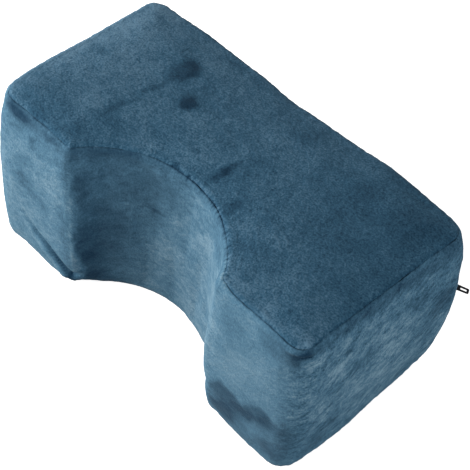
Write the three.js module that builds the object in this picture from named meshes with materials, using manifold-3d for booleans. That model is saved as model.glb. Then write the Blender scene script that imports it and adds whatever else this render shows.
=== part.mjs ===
// A knee pillow: a foam block in a velour cover, with a straight back, two wings and a round scoop
// for the leg between them. Millimetres, +Z up, +X along the block's length, +Y towards its straight
// back. The origin is the middle of the flat bottom.
import * as THREE from "three";
import { mergeVertices } from "three/addons/utils/BufferGeometryUtils.js";
import Module from "manifold-3d";

// Driving dimensions. The plan sizes are those of the bare block, before its sides are drawn in at
// the seams and swell between them.
const length = 360;
const depth = 187.6;
const height = 176.4;
const crown = 3;
const cornerRadius = 20;
const scoopWidth = 171;
const scoopDepth = 52;
const lipRadius = 9.5;
const rimRadius = 9;
const footRadius = 14;

// The cover: its cloth, the groove that a seam pulls, and the gap between neighbouring pieces.
const cloth = 2.6;
const seamDip = 1;
const seamHalfWidth = 3;
const gap = 0.3;

// How far each side swells half way up, and how far it is drawn in at its top and its foot.
const drawIn = 2.2;
const sides = {
  leftWing: { swell: 4, top: 4, foot: 2.3 },
  scoop: { swell: 4, top: 2.2, foot: 1.3 },
  rightWing: { swell: 4, top: -1.5, foot: 2.4 },
  rightEnd: { swell: 8, top: -0.2, foot: 5.6 },
  leftEnd: { swell: 3.8, top: 2, foot: 2 },
  back: { swell: 7, top: 2.6, foot: 4 },
  rightBackCorner: { swell: 3, top: 0, foot: 3 },
};

// The crease that the cloth drags towards the foot of the left wing, as stations along it.
const dragCrease = [
  { x: -137, z: 50, deep: 0, halfWidth: 5 },
  { x: -125, z: 39, deep: 2, halfWidth: 5 },
  { x: -103, z: 30, deep: 3.6, halfWidth: 5.5 },
  { x: -87, z: 19, deep: 5, halfWidth: 6 },
];

// The dimple that the seam pulls under the near top corner.
const dimple = new THREE.Vector3(176.4, -86.6, 161);
const dimpleDeep = 2.4;
const dimpleRadius = 9;

// The zip in the back: a channel for it, its tape and coil, the slider and the slotted pull.
const zipHeight = 86.3;
const zipFrom = -150;
const zipTo = 170;
const channelHalfWidth = 7;
const channelFloor = 3.5;
const tapeHalfWidth = 6.6;
const tapeThickness = 0.9;
const coilHalfWidth = 2.5;
const coilHeight = 1.4;
const sliderLength = 11;
const sliderHalfWidth = 4.5;
const sliderTop = 1.5;
const lugLength = 8;
const lugHeight = 3.3;
const lugWidth = 1.8;
const lugWall = 1.5;
const lugEye = 2.5;
const pullLength = 19;
const pullWidth = 7;
const pullTipWidth = 5.6;
const pullThickness = 1.5;
const pullBar = 1.6;
const pullEye = { length: 3.6, halfWidth: 1.3 };
const pullSlot = { fromTip: 1.9, length: 7, halfWidth: 1.1 };
const pullAngle = THREE.MathUtils.degToRad(19);

// Steps along each stretch of the outline; the left wing has more of them, for its crease.
const steps = { halfScoop: 10, lip: 5, rightWing: 6, corner: 6, end: 8, back: 14, leftWing: 14 };

const wasm = await Module();
wasm.setup();

// The least rounding that an inner outline keeps at its corners and lips.
const leastCorner = 6;
const leastLip = 3;

const scoopRadius = (scoopWidth ** 2 / 4 + scoopDepth ** 2) / (2 * scoopDepth);
const scoopCentreY = -depth / 2 + scoopDepth - scoopRadius;
const rimTop = height - crown;

// The outline drawn in by inset, counter-clockwise from the middle of the scoop, as points with
// their outward normals. Every inset gives the same number of points.
function outline(inset) {
  const x = length / 2 - inset;
  const y = depth / 2 - inset;
  const corner = Math.max(cornerRadius - inset, leastCorner);
  const lip = Math.max(lipRadius - inset, leastLip);
  const hollow = scoopRadius + inset;
  const lipY = lip - y;
  const lipX = Math.sqrt((hollow + lip) ** 2 - (lipY - scoopCentreY) ** 2);
  const turn = Math.atan2(lipY - scoopCentreY, lipX);
  const cornerX = x - corner;
  const cornerY = y - corner;
  const [q1, q2, q3, q4] = [1, 2, 3, 4].map((quarters) => (quarters * Math.PI) / 2);
  const arc = (cx, cy, r, from, to, clockwise = false) =>
    new THREE.EllipseCurve(cx, cy, r, r, from, to, clockwise);

  // Each arc with its own steps, and the steps of the straight line from it to the next one.
  const arcs = [
    { curve: arc(0, scoopCentreY, hollow, q1, turn, true), steps: steps.halfScoop },
    { curve: arc(lipX, lipY, lip, q2 + turn, q3), steps: steps.lip, then: steps.rightWing },
    { curve: arc(cornerX, -cornerY, corner, -q1, 0), steps: steps.corner, then: steps.end },
    { curve: arc(cornerX, cornerY, corner, 0, q1), steps: steps.corner, then: steps.back },
    { curve: arc(-cornerX, cornerY, corner, q1, q2), steps: steps.corner, then: steps.end },
    { curve: arc(-cornerX, -cornerY, corner, q2, q3), steps: steps.corner, then: steps.leftWing },
    { curve: arc(-lipX, lipY, lip, q3, q4 - turn), steps: steps.lip },
    { curve: arc(0, scoopCentreY, hollow, q2 - turn, q1, true), steps: steps.halfScoop },
  ];
  const points = [];
  const walk = (curve, count) => {
    for (let i = 0; i < count; i++) {
      const p = curve.getPoint(i / count);
      const t = curve.getTangent(i / count);
      points.push({ x: p.x, y: p.y, nx: t.y, ny: -t.x });
    }
  };
  arcs.forEach((stretch, i) => {
    walk(stretch.curve, stretch.steps);
    if (!stretch.then) return;
    const next = arcs[i + 1].curve;
    walk(new THREE.LineCurve(stretch.curve.getPoint(1), next.getPoint(0)), stretch.then);
  });
  return points;
}

// Each point's own swell and draw-in: the sides' figures, blended over the rounded corners and lips.
const blendWidth = 24;
const endZone = 2 * cornerRadius;
const figures = outline(0).map(({ x, y, nx, ny }) => {
  const rightEnd = nx > 0 && x > length / 2 - endZone ? nx * nx : 0;
  const leftEnd = nx < 0 && x < endZone - length / 2 ? nx * nx : 0;
  const back = ny > 0 && y > 0 ? ny * ny : 0;
  const front = Math.max(0, 1 - rightEnd - leftEnd - back);
  const inScoop = THREE.MathUtils.clamp((scoopWidth / 2 - Math.abs(x)) / blendWidth + 0.5, 0, 1);
  const wing = front * (1 - inScoop);
  const shares = {
    leftWing: x < 0 ? wing : 0,
    scoop: front * inScoop,
    rightWing: x < 0 ? 0 : wing,
    rightEnd,
    leftEnd,
    back,
    rightBackCorner: x > 0 && y > 0 ? Math.max(0, 2 * nx * ny) : 0,
  };
  const blend = (key) =>
    Object.entries(shares).reduce((sum, [side, share]) => sum + share * sides[side][key], 0);
  return { swell: blend("swell"), top: blend("top"), foot: blend("foot") };
});

// How far the crease and the dimple press a point of the band inwards.
function pressedAt(x, y, z) {
  const fromDimple = dimple.distanceTo(new THREE.Vector3(x, y, z)) / dimpleRadius;
  const press = dimpleDeep * Math.exp(-(fromDimple ** 2));
  if (y > 0) return press;
  let nearest = { distance: Infinity };
  for (let i = 1; i < dragCrease.length; i++) {
    const a = dragCrease[i - 1];
    const b = dragCrease[i];
    const [runX, runZ] = [b.x - a.x, b.z - a.z];
    const along = ((x - a.x) * runX + (z - a.z) * runZ) / (runX ** 2 + runZ ** 2);
    const t = THREE.MathUtils.clamp(along, 0, 1);
    const distance = Math.hypot(x - a.x - t * runX, z - a.z - t * runZ);
    if (distance < nearest.distance) nearest = { distance, a, b, t };
  }
  const deep = THREE.MathUtils.lerp(nearest.a.deep, nearest.b.deep, nearest.t);
  const halfWidth = THREE.MathUtils.lerp(nearest.a.halfWidth, nearest.b.halfWidth, nearest.t);
  return press + deep * Math.exp(-((nearest.distance / halfWidth) ** 2));
}

// One ring of points: the outline drawn in by inset, each point moved out by its own share.
function ring(inset, z, out) {
  return outline(inset).map(({ x, y, nx, ny }, i) => {
    const move = out(figures[i], x, y);
    return new THREE.Vector3(x + nx * move, y + ny * move, z);
  });
}

// A ring on the rounded rim: angle 0 is the top of the wall and a right angle the flat top. A ring
// on the foot: angle 0 is the flat bottom and a right angle the bottom of the wall.
const atTop = (own) => drawIn - own.top;
const atFoot = (own) => drawIn - own.foot;
const rimRing = (angle, radius) =>
  ring(drawIn + rimRadius - radius * Math.cos(angle), rimTop - rimRadius + radius * Math.sin(angle), atTop);
const footRing = (angle, radius) =>
  ring(drawIn + footRadius - radius * Math.sin(angle), footRadius - radius * Math.cos(angle), atFoot);

// The wall, between the top of the foot and the bottom of the rim, as fractions of its height.
const wallRows = [0, 0.05, 0.1, 0.15, 0.2, 0.26, 0.34, 0.45, 0.56, 0.68, 0.8, 0.88, 0.94, 1];
const wallHeight = rimTop - rimRadius - footRadius;
const wallRing = (k) => {
  const z = footRadius + wallHeight * k;
  return ring(drawIn, z, (own, x, y) => {
    const drawn = THREE.MathUtils.lerp(own.foot, own.top, k);
    return drawIn - drawn + own.swell * Math.sin(Math.PI * k) - pressedAt(x, y, z);
  });
};

// The crowned top, sunk by so much, from the rim in to the level middle.
const crownRows = [8, 19, 32];
const crownWidth = crownRows.at(-1);
const crownRings = (sunk) =>
  crownRows.map((inset) => {
    const rise = crown * (1 - (1 - inset / crownWidth) ** 2);
    return ring(drawIn + rimRadius + inset, rimTop - sunk + rise, atTop);
  });

// A closed solid through a stack of rings: the first is closed by a cap that faces down, the last by
// one that faces up.
function solidOfRings(rings) {
  const count = rings[0].length;
  const positions = rings.flat().flatMap((p) => [p.x, p.y, p.z]);
  const faces = [];
  for (let j = 0; j + 1 < rings.length; j++) {
    for (let i = 0; i < count; i++) {
      const next = (i + 1) % count;
      const [low, high] = [j * count, (j + 1) * count];
      faces.push(low + i, low + next, high + next, low + i, high + next, high + i);
    }
  }
  const capOf = (points) =>
    THREE.ShapeUtils.triangulateShape(points.map((p) => new THREE.Vector2(p.x, p.y)), []);
  const lastRing = (rings.length - 1) * count;
  for (const [a, b, c] of capOf(rings[0])) faces.push(c, b, a);
  for (const [a, b, c] of capOf(rings.at(-1))) faces.push(lastRing + a, lastRing + b, lastRing + c);
  const geometry = new THREE.BufferGeometry();
  geometry.setAttribute("position", new THREE.Float32BufferAttribute(positions, 3));
  geometry.setIndex(faces);
  return geometry;
}

// Booleans on closed geometries.
function manifoldOf(geometry) {
  const bare = geometry.clone();
  bare.deleteAttribute("normal");
  bare.deleteAttribute("uv");
  const merged = mergeVertices(bare);
  return new wasm.Manifold(
    new wasm.Mesh({
      numProp: 3,
      vertProperties: merged.attributes.position.array,
      triVerts: new Uint32Array(merged.index.array),
    }),
  );
}
function geometryOf(manifold) {
  const mesh = manifold.getMesh();
  const geometry = new THREE.BufferGeometry();
  geometry.setAttribute("position", new THREE.BufferAttribute(new Float32Array(mesh.vertProperties), 3));
  geometry.setIndex(new THREE.BufferAttribute(new Uint32Array(mesh.triVerts), 1));
  return geometry;
}

// The seams lie half way round the rim and the foot. There each panel's edge parts from the band by
// the gap, and the seam's groove is as wide as its two shoulders.
const deg = THREE.MathUtils.degToRad;
const seamAngle = deg(45);
const level = deg(90);
const under = cloth + gap;
const rimSplit = gap / 2 / (rimRadius - under);
const footSplit = gap / 2 / (footRadius - under);
const rimShoulder = seamHalfWidth / rimRadius;
const footShoulder = seamHalfWidth / footRadius;

// The filled body in its side band: the band shows from seam to seam, and the rest lies under the
// two panels. The channel for the zip is cut along its back.
function sideBand() {
  const filled = solidOfRings([
    footRing(0, footRadius - under),
    footRing(deg(25), footRadius - under),
    footRing(seamAngle + footSplit, footRadius - under),
    footRing(seamAngle + footSplit, footRadius - seamDip),
    footRing(seamAngle + footShoulder, footRadius),
    footRing(deg(72), footRadius),
    ...wallRows.map(wallRing),
    rimRing(seamAngle - rimShoulder, rimRadius),
    rimRing(seamAngle - rimSplit, rimRadius - seamDip),
    rimRing(seamAngle - rimSplit, rimRadius - under),
    rimRing(level, rimRadius - under),
    ...crownRings(under),
  ]);
  const channelDepth = 20;
  const channel = new THREE.BoxGeometry(zipTo + gap - zipFrom + gap, channelDepth, 2 * channelHalfWidth);
  channel.translate((zipFrom + zipTo) / 2, backWall - channelFloor + channelDepth / 2, zipHeight);
  return geometryOf(manifoldOf(filled).subtract(manifoldOf(channel)));
}

// The panels: C-shaped sheets of cloth, each turned over the edge to its seam.
const topPanel = () =>
  solidOfRings([
    ...crownRings(cloth).reverse(),
    rimRing(level, rimRadius - cloth),
    rimRing(seamAngle + rimSplit, rimRadius - cloth),
    rimRing(seamAngle + rimSplit, rimRadius - seamDip),
    rimRing(seamAngle + rimShoulder, rimRadius),
    rimRing(level, rimRadius),
    ...crownRings(0),
  ]);
const bottomPanel = () =>
  solidOfRings([
    footRing(0, footRadius),
    footRing(seamAngle - footShoulder, footRadius),
    footRing(seamAngle - footSplit, footRadius - seamDip),
    footRing(seamAngle - footSplit, footRadius - cloth),
    footRing(deg(22), footRadius - cloth),
    footRing(0, footRadius - cloth),
  ]);

// The zip's heights are measured out from the floor of its channel in the swollen back.
const backWall = depth / 2 - (sides.back.top + sides.back.foot) / 2 + sides.back.swell;
const tapeBase = backWall - channelFloor + gap;
const coilTop = tapeBase + tapeThickness + coilHeight;
const sliderBase = tapeBase + tapeThickness + gap;
const sliderFace = coilTop + gap + sliderTop;

// A bar along X with the cross-section given as (z, y) pairs.
function barAlongX(section, from, to) {
  const shape = new THREE.Shape(section.map(([z, y]) => new THREE.Vector2(-z, y)));
  const bar = new THREE.ExtrudeGeometry(shape, { depth: to - from, bevelEnabled: false });
  bar.rotateY(Math.PI / 2);
  bar.translate(from, 0, zipHeight);
  return bar;
}

const zipTape = () =>
  barAlongX(
    [
      [-tapeHalfWidth, tapeBase],
      [tapeHalfWidth, tapeBase],
      [tapeHalfWidth, tapeBase + tapeThickness],
      [coilHalfWidth, tapeBase + tapeThickness],
      [coilHalfWidth * 0.7, coilTop],
      [-coilHalfWidth * 0.7, coilTop],
      [-coilHalfWidth, tapeBase + tapeThickness],
      [-tapeHalfWidth, tapeBase + tapeThickness],
    ],
    zipFrom,
    zipTo,
  );

// The slider rides over the coil on two cheeks, and its lug is an arch that holds the pull's bar.
const sliderTo = zipTo - 1.5;
const lugMiddle = sliderTo - lugLength / 2 - 0.6;
function zipSlider() {
  const cheek = coilHalfWidth + gap;
  const body = barAlongX(
    [
      [-sliderHalfWidth, sliderBase],
      [-cheek, sliderBase],
      [-cheek, coilTop + gap],
      [cheek, coilTop + gap],
      [cheek, sliderBase],
      [sliderHalfWidth, sliderBase],
      [sliderHalfWidth, sliderFace - 0.8],
      [sliderHalfWidth - 1.2, sliderFace],
      [1.2 - sliderHalfWidth, sliderFace],
      [-sliderHalfWidth, sliderFace - 0.8],
    ],
    sliderTo - sliderLength,
    sliderTo,
  );
  const sunk = 0.5;
  const shoulder = lugHeight - lugWall;
  const arch = new THREE.Shape();
  arch.moveTo(-lugLength / 2, -sunk);
  arch.lineTo(lugLength / 2, -sunk);
  arch.lineTo(lugLength / 2, shoulder);
  arch.lineTo(lugLength / 2 - lugWall, lugHeight);
  arch.lineTo(lugWall - lugLength / 2, lugHeight);
  arch.lineTo(-lugLength / 2, shoulder);
  const eye = new THREE.Path();
  eye.moveTo(lugWall - lugLength / 2, 0);
  eye.lineTo(lugWall - lugLength / 2, lugEye);
  eye.lineTo(lugLength / 2 - lugWall, lugEye);
  eye.lineTo(lugLength / 2 - lugWall, 0);
  arch.holes.push(eye);
  const lug = new THREE.ExtrudeGeometry(arch, { depth: lugWidth, bevelEnabled: false });
  lug.translate(lugMiddle, sliderFace, zipHeight - lugWidth / 2);
  return geometryOf(manifoldOf(body).add(manifoldOf(lug)));
}

// The pull: a tapered plate with an eye round the lug's front leg and a slot in its free half.
const barX = lugMiddle + lugLength / 2 - lugWall - gap - pullBar / 2;
const barY = sliderFace + lugEye / 2;
function zipPull() {
  const start = -pullBar / 2;
  const end = start + pullLength;
  const half = pullWidth / 2;
  const tipHalf = pullTipWidth / 2;
  const nip = 1;
  const plate = new THREE.Shape();
  plate.moveTo(start, nip - half);
  plate.lineTo(start + nip, -half);
  plate.lineTo(end - nip, -tipHalf);
  plate.lineTo(end, nip - tipHalf);
  plate.lineTo(end, tipHalf - nip);
  plate.lineTo(end - nip, tipHalf);
  plate.lineTo(start + nip, half);
  plate.lineTo(start, half - nip);
  const hole = (from, to, halfWidth) => {
    const path = new THREE.Path();
    path.moveTo(from, -halfWidth);
    path.lineTo(from, halfWidth);
    path.lineTo(to, halfWidth);
    path.lineTo(to, -halfWidth);
    return path;
  };
  plate.holes.push(hole(pullBar / 2, pullBar / 2 + pullEye.length, pullEye.halfWidth));
  const slotTo = end - pullSlot.fromTip;
  plate.holes.push(hole(slotTo - pullSlot.length, slotTo, pullSlot.halfWidth));
  const pull = new THREE.ExtrudeGeometry(plate, { depth: pullThickness, bevelEnabled: false });
  pull.translate(0, 0, -pullThickness / 2);
  pull.rotateX(-Math.PI / 2);
  return pull;
}

const velour = { roughness: 0.95, metalness: 0 };
const bandVelour = new THREE.MeshStandardMaterial({ color: 0x547b94, ...velour });
const topVelour = new THREE.MeshStandardMaterial({ color: 0x3c5c73, ...velour });
const bottomVelour = new THREE.MeshStandardMaterial({ color: 0x3c5c73, ...velour });
const tapeWeave = new THREE.MeshStandardMaterial({ color: 0x2b4152, roughness: 0.85, metalness: 0 });
const sliderPaint = new THREE.MeshStandardMaterial({ color: 0x17191c, roughness: 0.4, metalness: 0.6 });
const pullPaint = new THREE.MeshStandardMaterial({ color: 0x121316, roughness: 0.35, metalness: 0.6 });

function piece(name, geometry, material) {
  const mesh = new THREE.Mesh(geometry, material);
  mesh.name = name;
  return mesh;
}

const group = new THREE.Group();
group.add(piece("side_band", sideBand(), bandVelour));
group.add(piece("top_panel", topPanel(), topVelour));
group.add(piece("bottom_panel", bottomPanel(), bottomVelour));
group.add(piece("zip_tape", zipTape(), tapeWeave));
group.add(piece("zip_slider", zipSlider(), sliderPaint));

const pull = piece("zip_pull", zipPull(), pullPaint);
pull.position.set(barX, barY, zipHeight);
pull.rotation.z = pullAngle;
group.add(pull);

export default group;
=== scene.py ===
from math import cos, hypot, pi, radians, sin

import bpy
import numpy as np
from mathutils import Matrix, Vector, noise
from mathutils.kdtree import KDTree


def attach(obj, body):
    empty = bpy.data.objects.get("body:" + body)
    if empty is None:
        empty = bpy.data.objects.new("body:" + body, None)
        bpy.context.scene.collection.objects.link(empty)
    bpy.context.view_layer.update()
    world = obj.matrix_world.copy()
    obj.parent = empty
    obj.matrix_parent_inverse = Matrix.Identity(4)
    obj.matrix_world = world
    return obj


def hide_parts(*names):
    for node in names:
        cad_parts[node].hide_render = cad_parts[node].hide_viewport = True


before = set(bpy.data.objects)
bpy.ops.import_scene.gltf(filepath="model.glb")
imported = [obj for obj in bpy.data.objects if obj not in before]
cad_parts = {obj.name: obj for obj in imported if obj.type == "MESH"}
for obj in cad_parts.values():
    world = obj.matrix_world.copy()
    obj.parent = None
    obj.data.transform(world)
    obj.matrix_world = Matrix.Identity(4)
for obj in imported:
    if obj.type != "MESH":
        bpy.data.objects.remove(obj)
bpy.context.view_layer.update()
scene = bpy.context.scene

# The camera is where the photographer stood: in front of the right wing and well above it, with a
# long lens and a slightly tilted head. Its frame is the photo's own, 470 pixels square.
azimuth, elevation, roll = (radians(a) for a in (42.08, 48.93, 5.33))
photo_width = 470
focal_length = 1674.59
sensor = 36
aim = Vector((0.0146, 0.00388, 0.08669))
distance = 1.3868

back = Vector((
    sin(azimuth) * cos(elevation),
    -cos(azimuth) * cos(elevation),
    sin(elevation),
))
level_right = Vector((cos(azimuth), sin(azimuth), 0))
level_up = back.cross(level_right)
right = level_right * cos(roll) + level_up * sin(roll)
up = level_up * cos(roll) - level_right * sin(roll)
bpy.ops.object.camera_add()
camera = bpy.context.active_object
camera.name = "photo_camera"
camera.data.sensor_width = sensor
camera.data.lens = focal_length / photo_width * sensor
camera.data.clip_start, camera.data.clip_end = 0.05, 20
turned = Matrix((right, up, back)).transposed().to_4x4()
camera.matrix_world = Matrix.Translation(aim + back * distance) @ turned
scene.camera = camera
scene.view_settings.view_transform = "Standard"

# The foam block inside the cover, which nobody sees: its plan and its swell set the shape of all
# the cloth. Sizes are in millimetres, as in the part, and are turned to metres when a mesh is made.
mm = 0.001
length, depth, height = 360, 187.6, 176.4
crown = 3
corner_radius, lip_radius = 20, 9.5
scoop_width, scoop_depth = 171, 52
rim_radius, foot_radius = 9, 14
cloth = 2.6
gap = 0.3
draw_in = 2.2
least_corner, least_lip = 6, 3
crown_width, scoop_blend = 32, 24
sides = {
    "left_wing": {"swell": 4, "top": 4, "foot": 2.3},
    "scoop": {"swell": 4, "top": 2.2, "foot": 1.3},
    "right_wing": {"swell": 4, "top": -1.5, "foot": 2.4},
    "right_end": {"swell": 8, "top": -0.2, "foot": 5.6},
    "left_end": {"swell": 3.8, "top": 1, "foot": 2},
    "back": {"swell": 7, "top": 2.6, "foot": 4},
    "right_back_corner": {"swell": 3, "top": 0, "foot": 3},
}
# Where the stuffing pushes the cover out or sinks: at a place, by a move, within a reach.
uneven_stuffing = [
    ((100, 88, 171), (0, 2.9, 2.2), (42, 30, 30)),
    ((-12, 87, 171), (0, -1.2, -1.0), (26, 20, 20)),
    ((-157, 86, 172), (0, -1.3, -1.5), (22, 22, 22)),
    ((-177, -45, 169), (-0.9, 0, 0.8), (20, 28, 25)),
    ((-172, -88, 100), (-1.3, -1.9, 0), (22, 22, 68)),
    ((18, -42, 10), (0, -1.2, 0), (18, 18, 30)),
    ((81, -91, 72), (-2.1, -1.5, 0), (13, 16, 42)),
    ((140, -90, 8), (0, -2.2, 0), (32, 20, 25)),
    ((172, -34, 10), (3.6, 0, 0), (25, 46, 32)),
    ((178, 84, 150), (2.8, 2.0, 0), (25, 25, 30)),
    ((-176, -84, 168), (1.6, 1.6, -1.8), (16, 16, 16)),
    ((172, 85, 171), (-1.3, -1.0, -0.6), (14, 14, 14)),
    ((-83, -91, 65), (5.3, -0.8, 0), (13, 16, 75)),
    ((-138, -93, 172), (0, 1.4, -2.6), (34, 12, 14)),
    ((176, -90, 168), (3.0, -3.0, 0), (14, 14, 16)),
    ((173, 73, 9), (-1.6, -1.4, 1.2), (13, 13, 12)),
    ((175, 30, 16), (0.4, 0, 0), (18, 22, 18)),
    ((180, 72, 42), (1.1, 0.4, 0), (18, 22, 26)),
    ((37, -48, 12), (0.8, -2.0, 0), (14, 14, 24)),
    ((-115, -88, 8), (0, -1.2, 0), (25, 14, 16)),
    ((168, -84, 5), (-0.9, 0.9, 0), (12, 12, 12)),
    ((-172, -88, 30), (-0.9, -0.9, 0), (20, 20, 25)),
    ((-87, -86, 6), (-0.5, 2.0, 1.0), (12, 12, 12)),
    ((90, -88, 3), (1.3, 1.3, 0.8), (12, 12, 10)),
    ((84, -93, 30), (-0.8, -0.4, 0), (12, 12, 12)),
    ((-68, -66, 6), (0.9, -0.9, 0), (18, 18, 12)),
]
scoop_radius = (scoop_width**2 / 4 + scoop_depth**2) / (2 * scoop_depth)
scoop_centre = -depth / 2 + scoop_depth - scoop_radius
rim_top = height - crown
wall_height = rim_top - rim_radius - foot_radius
seam_angle = radians(45)
level = radians(90)
under = cloth + gap


class Plan:
    """The block's outline in so many steps a stretch, counter-clockwise from the scoop's middle."""

    def __init__(self, half_scoop, lip, wing, corner, end, back):
        round_the_back = [lip, wing, corner, end, corner, back, corner, end, corner, wing, lip]
        self.stretches = [half_scoop, *round_the_back, half_scoop]
        self.starts = np.concatenate([[0], np.cumsum(self.stretches)])
        self.count = int(self.starts[-1])
        at = self.starts
        # The middles of the four corners, where a cap's grid has its own corners.
        self.grid_corners = [int(at[i] + corner // 2) for i in (3, 5, 7, 9)]
        points, normals = self.at(0)
        (x, y), (nx, ny) = points.T, normals.T
        self.ripple = np.zeros(self.count)
        ends_within = 2 * corner_radius
        shares = {name: np.zeros(self.count) for name in sides}
        shares["right_end"] = np.where((nx > 0) & (x > length / 2 - ends_within), nx**2, 0)
        shares["left_end"] = np.where((nx < 0) & (x < ends_within - length / 2), nx**2, 0)
        shares["back"] = np.where((ny > 0) & (y > 0), ny**2, 0)
        front = np.clip(1 - shares["right_end"] - shares["left_end"] - shares["back"], 0, None)
        in_scoop = np.clip((scoop_width / 2 - np.abs(x)) / scoop_blend + 0.5, 0, 1)
        shares["scoop"] = front * in_scoop
        shares["left_wing"] = np.where(x < 0, front * (1 - in_scoop), 0)
        shares["right_wing"] = np.where(x < 0, 0, front * (1 - in_scoop))
        shares["right_back_corner"] = np.where((x > 0) & (y > 0), np.clip(2 * nx * ny, 0, None), 0)
        self.own = {
            key: sum(share * sides[name][key] for name, share in shares.items())
            for key in ("swell", "top", "foot")
        }

    def at(self, inset):
        """The outline's points and outward normals, drawn in by one inset or by one a point."""
        inset = np.broadcast_to(np.asarray(inset, float), (self.count,))
        x, y = length / 2 - inset, depth / 2 - inset
        corner = np.maximum(corner_radius - inset, least_corner)
        lip = np.maximum(lip_radius - inset, least_lip)
        hollow = scoop_radius + inset
        lip_y = lip - y
        lip_x = np.sqrt((hollow + lip) ** 2 - (lip_y - scoop_centre) ** 2)
        turn = np.arctan2(lip_y - scoop_centre, lip_x)
        cx, cy = x - corner, y - corner
        full, zero = pi * 2, 0 * x
        quarter = full / 4
        arcs = {
            0: (zero, zero + scoop_centre, hollow, quarter, turn, -1),
            1: (lip_x, lip_y, lip, 2 * quarter + turn, 3 * quarter, 1),
            3: (cx, -cy, corner, -quarter, 0, 1),
            5: (cx, cy, corner, 0, quarter, 1),
            7: (-cx, cy, corner, quarter, 2 * quarter, 1),
            9: (-cx, -cy, corner, 2 * quarter, 3 * quarter, 1),
            11: (-lip_x, lip_y, lip, 3 * quarter, full - turn, 1),
            12: (zero, zero + scoop_centre, hollow, 2 * quarter - turn, quarter, -1),
        }
        points, normals = np.zeros((self.count, 2)), np.zeros((self.count, 2))

        def on_arc(index, t):
            ax, ay, radius, start, end, facing = arcs[index]
            angle = start + (end - start) * t
            unit = np.stack([np.cos(angle), np.sin(angle)], axis=-1)
            return np.stack([ax, ay], axis=-1) + radius[:, None] * unit, facing * unit

        for i, steps in enumerate(self.stretches):
            span = slice(self.starts[i], self.starts[i + 1])
            t = np.zeros(self.count)
            t[span] = np.arange(steps) / steps
            if i in arcs:
                p, n = on_arc(i, t)
            else:
                (a, n), (b, _) = on_arc(i - 1, t * 0 + 1), on_arc(i + 1, t * 0)
                p = a + (b - a) * t[:, None]
            points[span], normals[span] = p[span], n[span]
        return points, normals

    def ring(self, inset, z, out):
        points, normals = self.at(inset)
        moved = points + normals * np.broadcast_to(out, (self.count,))[:, None]
        return np.column_stack([moved, np.broadcast_to(z, (self.count,))])

    def rim(self, angle, radius):
        """A ring on the rounded rim, from the top of the wall (angle 0) to the flat top (level)."""
        radius = radius + self.ripple * np.sin(2 * angle)
        inset = draw_in + rim_radius - radius * np.cos(angle)
        z = rim_top - rim_radius + radius * np.sin(angle)
        return self.ring(inset, z, draw_in - self.own["top"])

    def foot(self, angle, radius):
        """A ring on the foot, from the flat bottom (angle 0) to the bottom of the wall (level)."""
        radius = radius + self.ripple * np.sin(2 * angle)
        inset = draw_in + foot_radius - radius * np.sin(angle)
        z = foot_radius - radius * np.cos(angle)
        return self.ring(inset, z, draw_in - self.own["foot"])

    def wall(self, k, swelling=1.0, pressed=None):
        """A ring of the wall at the fraction k of its height."""
        z = foot_radius + wall_height * k
        drawn = self.own["foot"] * (1 - k) + self.own["top"] * k
        out = draw_in - drawn + swelling * self.own["swell"] * sin(pi * k)
        ring = self.ring(draw_in, z, out)
        return ring if pressed is None else self.ring(draw_in, z, out - pressed(ring))

    def grid(self, ring, height_at):
        """Points and four-sided faces of a grid that fills a ring, in from its own points."""
        n = self.count
        right_front, right_back, left_back, left_front = self.grid_corners
        front = [(left_front + i) % n for i in range((right_front - left_front) % n + 1)]
        back = [left_back - i for i in range(left_back - right_back + 1)]
        left = [left_front - i for i in range(left_front - left_back + 1)]
        right = [right_front + i for i in range(right_back - right_front + 1)]
        across, along = len(front), len(left)
        u = np.linspace(0, 1, across)[:, None, None]
        v = np.linspace(0, 1, along)[None, :, None]
        f, b, l, r = (ring[side, :2] for side in (front, back, left, right))
        plan = (
            (1 - v) * f[:, None] + v * b[:, None] + (1 - u) * l[None] + u * r[None]
            - (1 - u) * (1 - v) * f[0] - u * (1 - v) * f[-1] - (1 - u) * v * b[0] - u * v * b[-1]
        )
        index = np.zeros((across, along), int)
        index[:, 0], index[:, -1], index[0, :], index[-1, :] = front, back, left, right
        inner = plan[1:-1, 1:-1].reshape(-1, 2)
        index[1:-1, 1:-1] = n + np.arange(len(inner)).reshape(across - 2, along - 2)
        points = np.column_stack([inner, height_at(inner, ring)])
        a, b, c, d = index[:-1, :-1], index[1:, :-1], index[1:, 1:], index[:-1, 1:]
        return points, np.stack([a, b, c, d], axis=-1).reshape(-1, 4)


def stuffed(points):
    """The points moved by the foam, which fills the cover unevenly and pushes it out in places."""
    moved = points.copy()
    for at, by, reach in uneven_stuffing:
        away = (points - at) / reach
        moved += np.exp(-(away**2).sum(axis=1, keepdims=True)) * by
    return moved


def skin(name, plan, rings, first, last):
    """A closed mesh through a stack of rings. first and last are the heights of the grids that
    close it, which face down and up, or None for one plain face."""
    n = plan.count
    points = [np.concatenate(rings)]
    i, j = np.meshgrid(np.arange(n), np.arange(len(rings) - 1))
    a, b = j * n + i, j * n + (i + 1) % n
    faces = [np.stack([a, b, b + n, a + n], axis=-1).reshape(-1, 4)]
    plain = []
    total = len(rings) * n
    for start, heights, down in ((0, first, True), ((len(rings) - 1) * n, last, False)):
        if heights is None:
            loop = list(range(start, start + n))
            plain.append(loop[::-1] if down else loop)
            continue
        inner, quads = plan.grid(points[0][start : start + n], heights)
        quads = np.where(quads < n, quads + start, quads - n + total)
        points.append(inner)
        faces.append(quads[:, ::-1] if down else quads)
        total += len(inner)
    mesh = bpy.data.meshes.new(name)
    corners = stuffed(np.concatenate(points)) * mm
    mesh.from_pydata(corners, [], np.concatenate(faces).tolist() + plain)
    mesh.validate()
    mesh.shade_smooth()
    made = bpy.data.objects.new(name, mesh)
    scene.collection.objects.link(made)
    return made


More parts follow.
